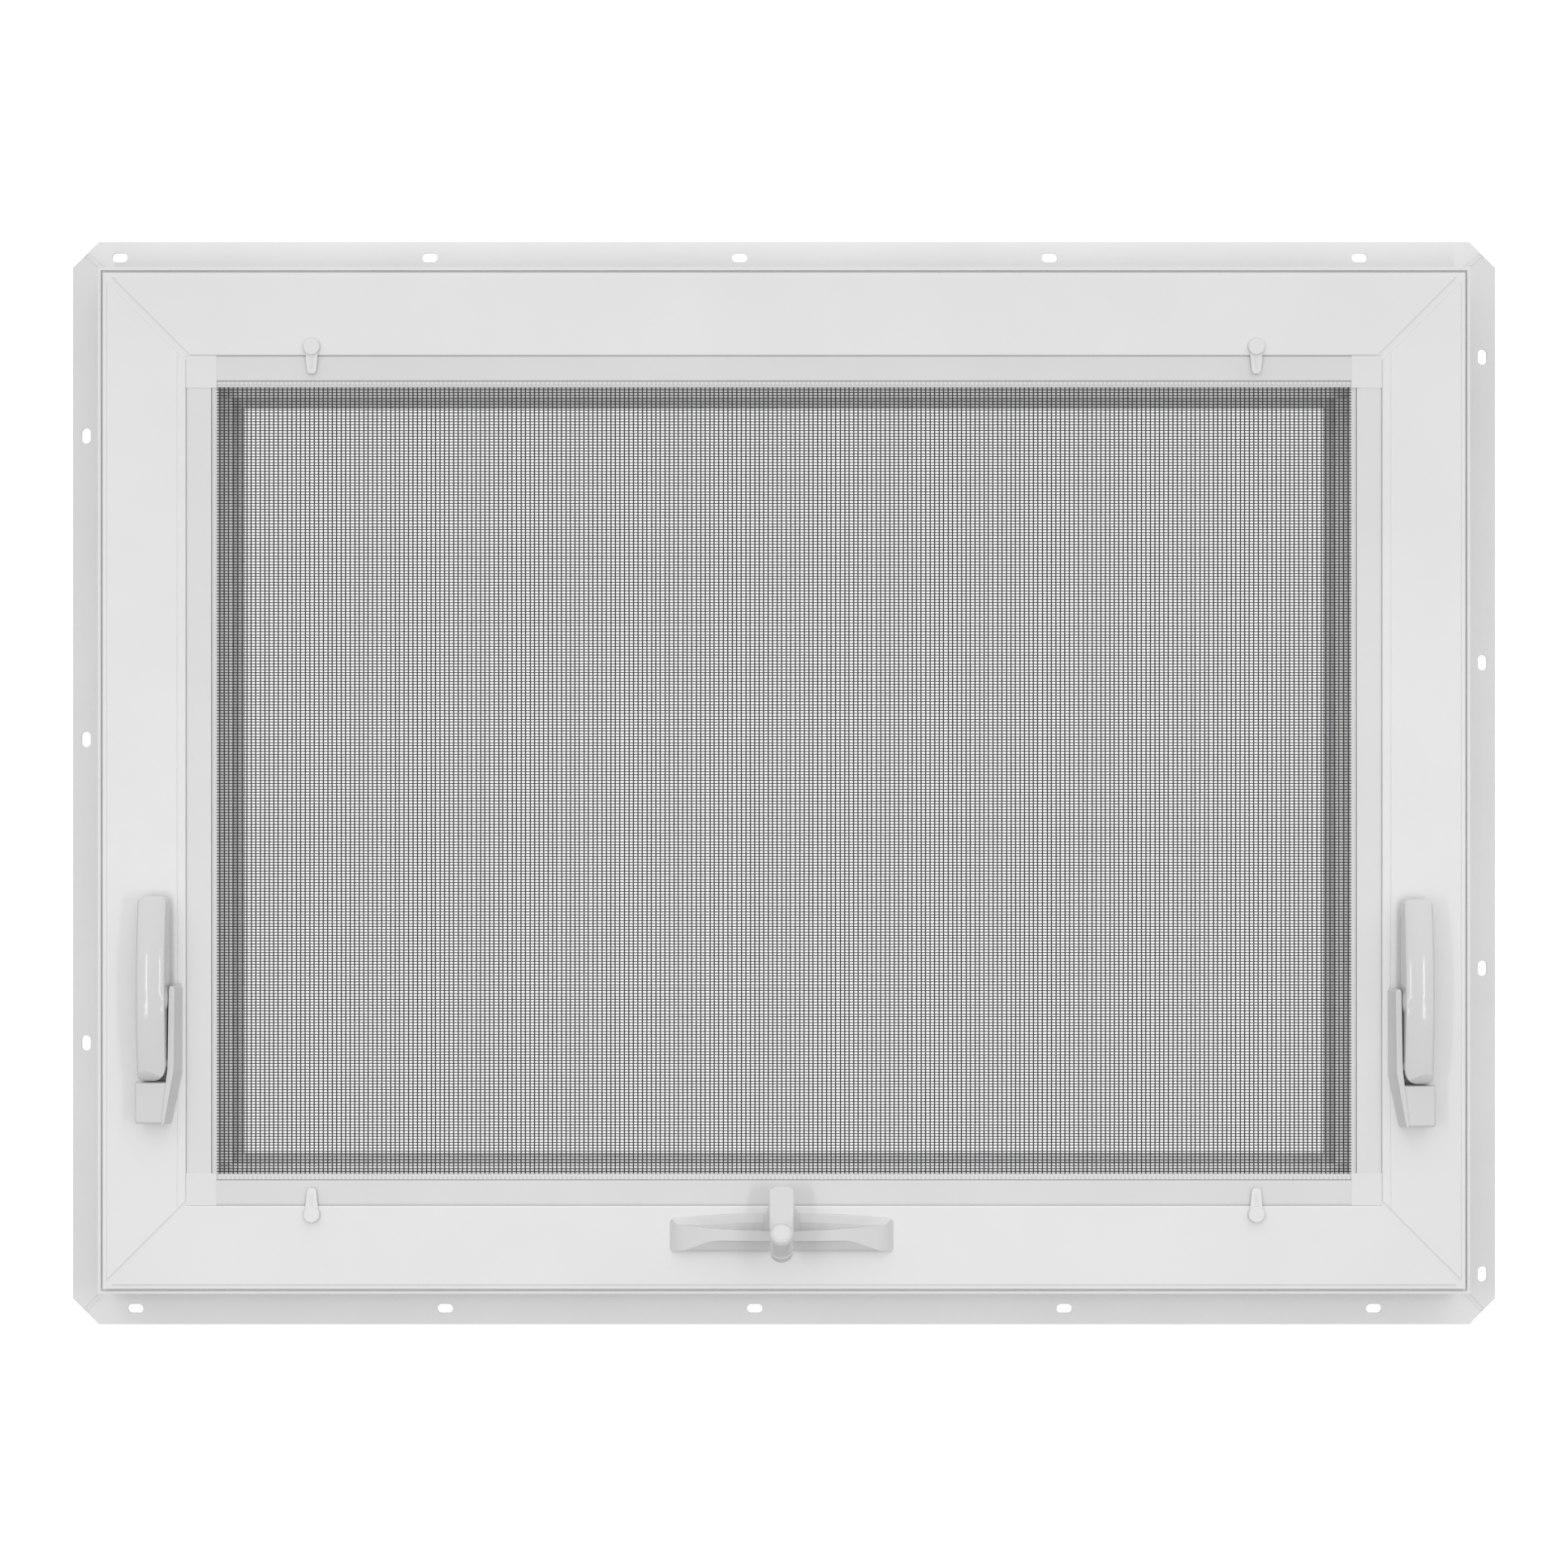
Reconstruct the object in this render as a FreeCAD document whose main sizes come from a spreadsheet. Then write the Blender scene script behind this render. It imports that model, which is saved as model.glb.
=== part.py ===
import FreeCAD, Part
import Sketcher
import math
import os

# Awning window with a nailing fin, an inside insect screen, two sash locks and
# a crank operator.  Millimetres.  +X right, +Z up, the room is at -Y.
# Origin: bearing face of the sill fin, at mid width and at the fin's mid height.

os.makedirs("parts", exist_ok=True)
doc = FreeCAD.newDocument("awning_window")
sheet = doc.addObject("Spreadsheet::Sheet", "Dim")

DIMS = [
    # outer frame
    ("FrameW", 806.45), ("FrameH", 603.25), ("CentreZ", 314.125),
    ("FrontY", -47.5), ("BackY", 35.0),
    ("LegTop", 3.0), ("LegW", 1.6), ("GrooveBottom", 5.6), ("LipIn", 3.3), ("LipDrop", 0.8),
    ("FaceOut", 5.6), ("FaceIn", 52.1), ("EdgeSoft", 1.0), ("LedgeY", -37.0), ("LedgeIn", 65.0),
    ("StopY", -3.0), ("PocketIn", 23.0), ("BackSoft", 2.0), ("JambLine", 47.0),
    ("WeldW", 2.2), ("WeldDepth", 0.8),
    # nailing fin
    ("FinT", 2.0), ("FinSide", 24.0), ("FinHead", 22.0), ("FinSill", 25.0), ("FinChamfer", 15.6),
    ("SlotR", 2.7), ("SlotL", 9.2),
    ("HeadSlotX", -399.1), ("HeadPitch", 186.2), ("HeadSlotUp", 12.6),
    ("SillSlotX", -389.6), ("SillPitch", 186.0), ("SillSlotDown", 15.6),
    ("LeftSlotZ", -157.6), ("LeftPitch", 182.4), ("LeftSlotOut", 16.1),
    ("RightSlotZ", -296.5), ("RightPitch", 183.7), ("RightSlotOut", 16.4),
    # sash, bead and glass, measured in from the frame's outer edge
    ("SashOut", 28.0), ("SashCore", 57.5), ("Sight", 70.8), ("SashFrontY", 2.0), ("SashBackY", 33.0),
    ("BeadFoot", 4.5), ("BeadFootY", 16.0), ("GlassIn", 63.0), ("GlassY", 8.0), ("PaneT", 3.0), ("AirGap", 13.0),
    ("SpacerOut", 68.0), ("SpacerIn", 75.5), ("StripOut", 31.0), ("StripIn", 38.0),
    # insect screen, measured in from the frame's outer edge
    ("ScrOut", 52.15), ("ScrFrontY", -46.7), ("ScrBackY", -37.0), ("ScrEdge", 67.0), ("ScrMesh", 69.1),
    ("ScrLip", 70.4), ("ScrLipDrop", 1.0), ("SplineOut", 67.3), ("SplineDeep", 3.0), ("KeyW", 17.95), ("KeyH", 18.85),
    ("SplineDrop", 0.35), ("MeshT", 0.5),
    # screen clips
    ("ClipX", 277.0), ("ClipZ", 254.4), ("ClipR", 4.85), ("ClipH", 3.4), ("ClipGap", 0.15), ("TongueL", 15.6),
    ("TongueRoot", 4.0), ("TongueTip", 2.6), ("TongueT", 1.8), ("PinR", 1.5), ("PinFit", 0.05), ("PinL", 5.0),
    ("RibW", 0.45), ("RibH", 0.7),
    # sash locks
    ("LockX", 367.6), ("LockOff", 1.4), ("LockZ", -165.0), ("LockDrop", 1.9), ("PivotOut", 13.0), ("LeverW", 16.4), ("HeelR", 10.2),
    ("LeverUp", 97.7), ("CrownR", 25.0), ("CrownOff", 3.4), ("PlateT", 2.0), ("BlockH", 17.2), ("BlockP", 17.5), ("RibP", 17.0), ("LockPinR", 2.5),
    # operator and crank
    ("OpX", -1.4), ("OpHalf", 66.1), ("CoverP", 14.5), ("BowR", 200.0), ("Tilt", 55.0),
    ("HubOut", 32.8), ("HubZ", -239.5), ("ArmL", 34.0), ("HubR", 6.9), ("ArmT", 5.0), ("HubDeep", 16.0),
    ("ShaftR", 4.5), ("ShaftFit", 0.05), ("ShaftL", 15.0), ("BossTop", 20.0), ("BossR", 8.2), ("BossBase", 12.6), ("BossL", 16.0),
    ("KnobL", 20.5), ("KnobR", 7.0), ("KnobFoot", 6.0), ("KnobPin", 2.2), ("KnobGap", 0.3),
]
VAL = {}
for i, (name, value) in enumerate(DIMS):
    cell = "A%d" % (i + 1)
    sheet.set(cell, str(value))
    sheet.setAlias(cell, name)
    VAL[name] = value
doc.recompute()


class Q:
    """A size: its number and the expression that gives it from the sheet."""

    def __init__(self, v, e):
        self.v, self.e = float(v), e

    def __add__(self, o):
        o = q(o)
        return Q(self.v + o.v, "(%s + %s)" % (self.e, o.e))

    def __sub__(self, o):
        o = q(o)
        return Q(self.v - o.v, "(%s - %s)" % (self.e, o.e))

    def __mul__(self, o):
        o = q(o)
        return Q(self.v * o.v, "(%s * %s)" % (self.e, o.e))

    def __truediv__(self, o):
        o = q(o)
        return Q(self.v / o.v, "(%s / %s)" % (self.e, o.e))

    def __radd__(self, o):
        return q(o) + self

    def __rsub__(self, o):
        return q(o) - self

    def __rmul__(self, o):
        return q(o) * self

    def __neg__(self):
        return Q(-self.v, "(0 - %s)" % self.e)


def q(x):
    if isinstance(x, Q):
        return x
    return Q(x, "(%r)" % float(x) if x < 0 else "%r" % float(x))


def D(name):
    return Q(VAL[name], "Dim." + name)


def bind(obj, prop, size):
    size = q(size)
    obj.setExpression(prop, size.e)


def place(obj, x=0, y=0, z=0, rx=None, ry=None):
    x, y, z = q(x), q(y), q(z)
    rot = FreeCAD.Rotation()
    if rx is not None:
        rot = FreeCAD.Rotation(FreeCAD.Vector(1, 0, 0), q(rx).v)
    if ry is not None:
        rot = FreeCAD.Rotation(FreeCAD.Vector(0, 1, 0), q(ry).v)
    obj.Placement = FreeCAD.Placement(FreeCAD.Vector(x.v, y.v, z.v), rot)
    bind(obj, "Placement.Base.x", x)
    bind(obj, "Placement.Base.y", y)
    bind(obj, "Placement.Base.z", z)


def body(name):
    b = doc.addObject("PartDesign::Body", name)
    b.Label = name
    return b


def sketch(b, role, name, offset=None):
    plane = [o for o in b.Origin.OriginFeatures if o.Role == role][0]
    sk = b.newObject("Sketcher::SketchObject", b.Name + "_" + name)
    sk.AttachmentSupport = [(plane, "")]
    sk.MapMode = "FlatFace"
    if offset is not None:
        sk.AttachmentOffset = FreeCAD.Placement(FreeCAD.Vector(0, 0, q(offset).v), FreeCAD.Rotation())
        bind(sk, "AttachmentOffset.Base.z", offset)
    return sk


def polygon(sk, pts):
    """Closed polygon; every corner is bound to the sheet."""
    pts = [(q(a), q(b)) for a, b in pts]
    n = len(pts)
    first = sk.GeometryCount
    for i in range(n):
        a, c = pts[i], pts[(i + 1) % n]
        sk.addGeometry(Part.LineSegment(FreeCAD.Vector(a[0].v, a[1].v, 0), FreeCAD.Vector(c[0].v, c[1].v, 0)), False)
    for i in range(n):
        sk.addConstraint(Sketcher.Constraint("Coincident", first + i, 2, first + (i + 1) % n, 1))
    for i, p in enumerate(pts):
        for kind, size in (("DistanceX", p[0]), ("DistanceY", p[1])):
            k = sk.addConstraint(Sketcher.Constraint(kind, -1, 1, first + i, 1, size.v))
            if "Dim." in size.e:
                sk.setExpression("Constraints[%d]" % k, size.e)


def circle(sk, cx, cy, r):
    cx, cy, r = q(cx), q(cy), q(r)
    g = sk.addGeometry(Part.Circle(FreeCAD.Vector(cx.v, cy.v, 0), FreeCAD.Vector(0, 0, 1), r.v), False)
    for kind, size in (("DistanceX", cx), ("DistanceY", cy)):
        k = sk.addConstraint(Sketcher.Constraint(kind, -1, 1, g, 3, size.v))
        if "Dim." in size.e:
            sk.setExpression("Constraints[%d]" % k, size.e)
    k = sk.addConstraint(Sketcher.Constraint("Radius", g, r.v))
    if "Dim." in r.e:
        sk.setExpression("Constraints[%d]" % k, r.e)


def slot(sk, cx, cy, half, r, vertical=False):
    """Oblong hole: two half circles joined by straight sides."""
    cx, cy, half, r = q(cx), q(cy), q(half), q(r)
    s = half - r
    V = FreeCAD.Vector
    if vertical:
        c1, c2 = (cx, cy - s), (cx, cy + s)
        a1 = (math.pi, 2 * math.pi)
        a2 = (0, math.pi)
    else:
        c1, c2 = (cx - s, cy), (cx + s, cy)
        a1 = (math.pi / 2, 3 * math.pi / 2)
        a2 = (-math.pi / 2, math.pi / 2)
    A = Part.ArcOfCircle(Part.Circle(V(c1[0].v, c1[1].v, 0), V(0, 0, 1), r.v), a1[0], a1[1])
    B = Part.ArcOfCircle(Part.Circle(V(c2[0].v, c2[1].v, 0), V(0, 0, 1), r.v), a2[0], a2[1])
    ga = sk.addGeometry(A, False)
    gb = sk.addGeometry(B, False)
    l1 = sk.addGeometry(Part.LineSegment(A.EndPoint, B.StartPoint), False)
    l2 = sk.addGeometry(Part.LineSegment(B.EndPoint, A.StartPoint), False)
    sk.addConstraint(Sketcher.Constraint("Tangent", ga, 2, l1, 1))
    sk.addConstraint(Sketcher.Constraint("Tangent", l1, 2, gb, 1))
    sk.addConstraint(Sketcher.Constraint("Tangent", gb, 2, l2, 1))
    sk.addConstraint(Sketcher.Constraint("Tangent", l2, 2, ga, 1))
    sk.addConstraint(Sketcher.Constraint("Equal", ga, gb))
    k = sk.addConstraint(Sketcher.Constraint("Radius", ga, r.v))
    sk.setExpression("Constraints[%d]" % k, r.e)
    for g, c in ((ga, c1), (gb, c2)):
        for kind, size in (("DistanceX", c[0]), ("DistanceY", c[1])):
            k = sk.addConstraint(Sketcher.Constraint(kind, -1, 1, g, 3, size.v))
            if "Dim." in size.e:
                sk.setExpression("Constraints[%d]" % k, size.e)


def pad(b, sk, length, symmetric=False, reverse=False):
    f = b.newObject("PartDesign::Pad", sk.Name + "_pad")
    f.Profile = sk
    f.SideType = "Symmetric" if symmetric else "One side"
    f.Length = q(length).v
    bind(f, "Length", length)
    f.Reversed = reverse
    b.Tip = f
    doc.recompute()
    return f


def pocket(b, sk, length=None, symmetric=False, reverse=False):
    before = b.Shape.Volume
    f = b.newObject("PartDesign::Pocket", sk.Name + "_cut")
    f.Profile = sk
    f.SideType = "Symmetric" if symmetric else "One side"
    if length is None:
        f.Type = "ThroughAll"
    else:
        f.Type = "Length"
        f.Length = q(length).v
        bind(f, "Length", length)
    f.Reversed = reverse
    b.Tip = f
    doc.recompute()
    if not b.Shape.Volume < before - 1e-3:
        raise RuntimeError("a cut in %s removed nothing" % b.Label)
    return f


def edges(feature, test):
    out = []
    for i, e in enumerate(feature.Shape.Edges):
        pts = [v.Point for v in e.Vertexes]
        if test(e, pts):
            out.append("Edge%d" % (i + 1))
    return out


def fillet(b, feature, names, size):
    f = b.newObject("PartDesign::Fillet", feature.Name + "_fillet")
    f.Base = (feature, names)
    f.Radius = q(size).v
    b.Tip = f
    doc.recompute()
    return f


def chamfer(b, feature, names, size, size2=None):
    f = b.newObject("PartDesign::Chamfer", feature.Name + "_chamfer")
    f.Base = (feature, names)
    f.Size = q(size).v
    if size2 is not None:
        f.ChamferType = "Two distances"
        f.Size2 = q(size2).v
    b.Tip = f
    doc.recompute()
    return f


PARTS = []


def keep(obj):
    PARTS.append(obj)
    return obj


def box(name, x0, x1, y0, y1, z0, z1):
    o = doc.addObject("Part::Box", name)
    o.Label = name
    for prop, a, c in (("Length", x0, x1), ("Width", y0, y1), ("Height", z0, z1)):
        size = q(c) - q(a)
        setattr(o, prop, size.v)
        bind(o, prop, size)
    place(o, x0, y0, z0)
    return o


def group(name, objs):
    o = doc.addObject("Part::Compound", name)
    o.Label = name
    o.Links = objs
    return o


W2 = D("FrameW") / 2
H2 = D("FrameH") / 2
ZC = D("CentreZ")
F = D("FrontY")

# ---------------------------------------------------------------- outer frame
# One extruded section, mitred at 45 degrees and welded at the corners.
# Section corners are (y, distance in from the outer edge).


def frame_section(jamb):
    pts = [
        (F + D("LegTop"), 0), (F + D("LegTop"), D("LegW")), (F + D("GrooveBottom"), D("LegW")),
        (F + D("GrooveBottom"), D("LipIn")), (F + D("LipDrop"), D("LipIn")), (F + D("LipDrop"), D("FaceOut")),
        (F + 0.3, D("FaceOut")), (F, D("FaceOut") + 0.4),
    ]
    if jamb:
        pts += [(F, D("JambLine") - 0.5), (F + 0.3, D("JambLine")), (F, D("JambLine") + 0.5)]
    pts += [
        (F, D("FaceIn") - D("EdgeSoft")), (F + 0.15, D("FaceIn") - 0.45), (F + 0.45, D("FaceIn") - 0.15),
        (F + D("EdgeSoft"), D("FaceIn")),
        (D("LedgeY"), D("FaceIn")), (D("LedgeY"), D("LedgeIn")), (D("StopY"), D("LedgeIn")),
        (D("StopY"), D("PocketIn")), (D("BackY"), D("PocketIn")), (D("BackY"), D("BackSoft")),
        (D("BackY") - D("BackSoft"), 0),
    ]
    return pts


def member(name, half, section, reach, weld, clips=None):
    """A mitred length of profile: local X along it, local Z in from the outer edge."""
    b = body(name)
    sk = sketch(b, "YZ_Plane", "section")
    polygon(sk, section)
    pad(b, sk, half * 2, symmetric=True)
    sk = sketch(b, "XZ_Plane", "mitres")
    polygon(sk, [(half + 1, -1), (half + 1, reach), (half - reach, reach)])
    polygon(sk, [(-half - 1, -1), (-half - 1, reach), (-half + reach, reach)])
    pocket(b, sk, symmetric=True)
    if weld:
        # shallow clean-out groove over each corner weld, seen from the front
        sk = sketch(b, "XZ_Plane", "weld", offset=-F)
        w = D("WeldW") * 1.4142
        polygon(sk, [(half + 1, -1), (half - reach, reach), (half - reach - w, reach), (half + 1 - w, -1)])
        polygon(sk, [(-half - 1, -1), (-half + reach, reach), (-half + reach + w, reach), (-half - 1 + w, -1)])
        pocket(b, sk, D("WeldDepth"))
    if clips is not None:
        # blind holes for the pins of the screen clips
        sk = sketch(b, "XZ_Plane", "pins", offset=-F)
        for s in (-1, 1):
            circle(sk, D("ClipX") * s, clips, D("PinR") + D("PinFit"))
        pocket(b, sk, D("PinL") + 0.5)
    return b


CLIP_IN = H2 - D("ClipZ")
b = member("frame_sill", W2, frame_section(False), D("LedgeIn") + 6, True, CLIP_IN)
place(b, 0, 0, ZC - H2)
keep(b)
b = member("frame_head", W2, frame_section(False), D("LedgeIn") + 6, True, CLIP_IN)
place(b, 0, 0, ZC + H2, ry=180)
keep(b)
b = member("frame_jamb_left", H2, frame_section(True), D("LedgeIn") + 6, True)
place(b, -W2, 0, ZC, ry=90)
keep(b)
b = member("frame_jamb_right", H2, frame_section(True), D("LedgeIn") + 6, True)
place(b, W2, 0, ZC, ry=-90)
keep(b)

# ---------------------------------------------------------------- nailing fin
# Four strips on the frame's outer edge with mitred, chamfered corners and a row
# of oblong nail slots.  The bearing face is y = 0.
C = D("FinChamfer")
HALF = 0.5


def fin(name, pts, slots, axis_role, seam):
    b = body(name)
    sk = sketch(b, "XZ_Plane", "outline")
    polygon(sk, pts)
    # the sketch faces -Y, so the strip is padded the other way, towards +Y
    pad(b, sk, D("FinT"), reverse=True)
    x, z, pitch, n, vertical = slots
    sk = sketch(b, "XZ_Plane", "slot")
    slot(sk, x, z, D("SlotL") / 2, D("SlotR"), vertical)
    cut = pocket(b, sk, symmetric=True)
    before = b.Shape.Volume
    lp = b.newObject("PartDesign::LinearPattern", name + "_slots")
    lp.Originals = [cut]
    axis = [o for o in b.Origin.OriginFeatures if o.Role == axis_role][0]
    lp.Direction = (axis, [""])
    lp.Length = (q(pitch) * (n - 1)).v
    bind(lp, "Length", q(pitch) * (n - 1))
    lp.Occurrences = n
    b.Tip = lp
    doc.recompute()
    if not b.Shape.Volume < before - 1:
        raise RuntimeError("slot pattern missing in " + name)
    # shallow crease beside each corner seam
    sk = sketch(b, "XZ_Plane", "seam")
    for quad in seam:
        polygon(sk, quad)
    pocket(b, sk, 1.0, symmetric=True)
    place(b, 0, 0, ZC)
    return keep(b)


FS, FH, FB = D("FinSide"), D("FinHead"), D("FinSill")
X1, ZT, ZB = W2 + FS, H2 + FH, -H2 - FB
TL = [(-W2, H2), (-X1 + C / 2, ZT - C / 2)]
BL = [(-W2, -H2), (-X1 + C / 2, ZB + C / 2)]


def mirror_x(pts):
    return [(-q(a), c) for a, c in pts]


def crease(corner, tip, dx, dz, w):
    """Thin quad along a corner seam, from the frame's corner to the chamfer."""
    return [(corner[0] + dx * 0.6, corner[1] + dz * 0.6), (tip[0] + dx * 0.4, tip[1] + dz * 0.4),
            (tip[0] + dx * w, tip[1] + dz * w), (corner[0] + dx * w, corner[1] + dz * w)]


head = [TL[0], TL[1], (-X1 + C, ZT)] + list(reversed(mirror_x([TL[0], TL[1], (-X1 + C, ZT)])))
cr = crease(TL[0], TL[1], 1.0, 0.3, 2.2)
fin("nail_fin_head", head, (D("HeadSlotX"), H2 + D("HeadSlotUp"), D("HeadPitch"), 5, False), "X_Axis", [cr, mirror_x(cr)])
sill = [BL[0], BL[1], (-X1 + C, ZB)] + list(reversed(mirror_x([BL[0], BL[1], (-X1 + C, ZB)])))
cr = crease(BL[0], BL[1], 1.0, -0.3, 2.2)
fin("nail_fin_sill", sill, (D("SillSlotX"), -H2 - D("SillSlotDown"), D("SillPitch"), 5, False), "X_Axis", [cr, mirror_x(cr)])
left = [TL[0], TL[1], (-X1, ZT - C), (-X1, ZB + C), BL[1], BL[0]]
crt = crease(TL[0], TL[1], -0.3, -1.0, 2.2)
crb = crease(BL[0], BL[1], -0.3, 1.0, 2.2)
fin("nail_fin_left", left, (-W2 - D("LeftSlotOut"), D("LeftSlotZ"), D("LeftPitch"), 3, True), "Z_Axis", [crt, crb])
right = mirror_x(left)
fin("nail_fin_right", right, (W2 + D("RightSlotOut"), D("RightSlotZ"), D("RightPitch"), 4, True), "Z_Axis",
    [mirror_x(crt), mirror_x(crb)])

# ---------------------------------------------------------------- sash
# Mitred profile with an outside leg that the glass rests against and a core
# beside the glass edge; local Z is measured from the sash's outer edge.
SO = D("SashOut")
SW, SH = W2 - SO, H2 - SO
core, sight = D("SashCore") - SO, D("Sight") - SO
legy = D("GlassY") + D("PaneT") * 2 + D("AirGap")
sash = [
    (D("SashFrontY"), 0), (D("SashFrontY"), core), (legy, core), (legy, sight - 1), (legy + 1, sight),
    (D("SashBackY") - 3, sight), (D("SashBackY"), sight - 7), (D("SashBackY"), 2), (D("SashBackY") - 2, 0),
]
for name, half, x, z, ry in (("sash_bottom_rail", SW, 0, ZC - SH, None), ("sash_top_rail", SW, 0, ZC + SH, 180),
                             ("sash_stile_left", SH, -SW, ZC, 90), ("sash_stile_right", SH, SW, ZC, -90)):
    b = member(name, half, sash, sight + 4, False)
    place(b, x, 0, z, ry=ry)
    keep(b)

# ---------------------------------------------------------------- glazing beads
# Snap-in beads with square ends: the level ones run full width and the upright
# ones stand between them.
foot = core + D("BeadFoot")
bead = [
    (D("SashFrontY"), core), (D("SashFrontY"), sight - 2), (D("SashFrontY") + 1.5, sight), (D("GlassY"), sight),
    (D("GlassY"), foot), (D("BeadFootY"), foot), (D("BeadFootY"), core),
]
BW, BH = SW - core, SH - sight
for name, half, x, z, ry in (("glazing_bead_bottom", BW, 0, ZC - SH, None), ("glazing_bead_top", BW, 0, ZC + SH, 180),
                             ("glazing_bead_left", BH - 0.15, -SW, ZC, 90),
                             ("glazing_bead_right", BH - 0.15, SW, ZC, -90)):
    b = body(name)
    sk = sketch(b, "YZ_Plane", "section")
    polygon(sk, bead)
    pad(b, sk, half * 2, symmetric=True)
    place(b, x, 0, z, ry=ry)
    keep(b)

# ---------------------------------------------------------------- sealed glass unit
GW, GH = W2 - D("GlassIn"), H2 - D("GlassIn")
y0 = D("GlassY")
y1 = y0 + D("PaneT")
y2 = y1 + D("AirGap")
y3 = y2 + D("PaneT")
keep(box("glass_inner_pane", -GW, GW, y0, y1, ZC - GH, ZC + GH))
keep(box("glass_outer_pane", -GW, GW, y2, y3, ZC - GH, ZC + GH))
o, i = D("SpacerOut"), D("SpacerIn")
keep(group("glass_spacer", [
    box("spacer_1", -W2 + o, W2 - o, y1, y2, ZC - H2 + o, ZC - H2 + i),
    box("spacer_2", -W2 + o, W2 - o, y1, y2, ZC + H2 - i, ZC + H2 - o),
    box("spacer_3", -W2 + o, -W2 + i, y1, y2, ZC - H2 + i + 0.2, ZC + H2 - i - 0.2),
    box("spacer_4", W2 - i, W2 - o, y1, y2, ZC - H2 + i + 0.2, ZC + H2 - i - 0.2),
]))
# compression seal between the frame's stop and the sash
o, i = D("StripOut"), D("StripIn")
ya, yb = D("StopY"), D("SashFrontY")
keep(group("weatherstrip", [
    box("strip_1", -W2 + o, W2 - o, ya, yb, ZC - H2 + o, ZC - H2 + i),
    box("strip_2", -W2 + o, W2 - o, ya, yb, ZC + H2 - i, ZC + H2 - o),
    box("strip_3", -W2 + o, -W2 + i, ya, yb, ZC - H2 + i + 0.2, ZC + H2 - i - 0.2),
    box("strip_4", W2 - i, W2 - o, ya, yb, ZC - H2 + i + 0.2, ZC + H2 - i - 0.2),
]))

# ---------------------------------------------------------------- insect screen
# Roll-formed bars between square corner keys; a spline holds the mesh in a
# groove at the inner edge of each bar.
so = D("ScrOut")
e, m, lip = D("ScrEdge") - so, D("ScrMesh") - so, D("ScrLip") - so
sf, sb = D("ScrFrontY"), D("ScrBackY")
bar_section = [
    (sf + 0.9, 0), (sf + 0.45, 0.25), (sf + 0.15, 0.8), (sf, 1.9), (sf, e - 0.7), (sf + 0.2, e - 0.2), (sf + 0.7, e),
    (sf + D("SplineDeep"), e), (sf + D("SplineDeep"), m), (sf + D("ScrLipDrop"), m), (sf + D("ScrLipDrop"), lip), (sb, lip),
    (sb, 0),
]


RW, RH = W2 - so, H2 - so
kw, kh = D("KeyW"), D("KeyH")
for name, half, x, z, ry in (("screen_bar_bottom", RW - kw, 0, ZC - RH, None), ("screen_bar_top", RW - kw, 0, ZC + RH, 180),
                             ("screen_bar_left", RH - kh, -RW, ZC, 90), ("screen_bar_right", RH - kh, RW, ZC, -90)):
    b = body(name)
    sk = sketch(b, "YZ_Plane", "section")
    polygon(sk, bar_section)
    pad(b, sk, half * 2, symmetric=True)
    place(b, x, 0, z, ry=ry)
    keep(b)
# corner keys: square blocks, 0.3 mm proud of the bars
keys = []
kf = sf - 0.3
for n, (sx, sz) in enumerate(((-1, -1), (1, -1), (-1, 1), (1, 1))):
    xa, xb = (-RW, -RW + kw) if sx < 0 else (RW - kw, RW)
    za, zb = (ZC - RH, ZC - RH + kh) if sz < 0 else (ZC + RH - kh, ZC + RH)
    keys.append(box("key_%d" % (n + 1), xa, xb, kf, sb, za, zb))
keep(group("screen_corner_keys", keys))
# spline strips in the grooves, leaving a thin dark gap beside the bar
s0, s1 = sf + D("SplineDrop"), sf + D("SplineDeep")
EX, EZ = W2 - D("SplineOut"), H2 - D("SplineOut")
MX, MZ = W2 - D("ScrMesh"), H2 - D("ScrMesh")
LX, LZ = RW - kw, RH - kh
keep(group("screen_spline", [
    box("spline_1", -LX, LX, s0, s1, ZC - EZ, ZC - MZ),
    box("spline_2", -LX, LX, s0, s1, ZC + MZ, ZC + EZ),
    box("spline_3", -EX, -MX, s0, s1, ZC - LZ, ZC + LZ),
    box("spline_4", MX, EX, s0, s1, ZC - LZ, ZC + LZ),
]))
# the mesh as a thin sheet lying on the bars' inner lips
keep(box("screen_mesh", -LX, LX, sf + D("ScrLipDrop") - D("MeshT"), sf + D("ScrLipDrop"), ZC - LZ, ZC + LZ))

# ---------------------------------------------------------------- screen clips
# Round head on the frame face, tapered tongue over the screen bar, and a pin
# that turns in a blind hole.  Local Z points out of the face, local Y along the
# tongue.


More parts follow.
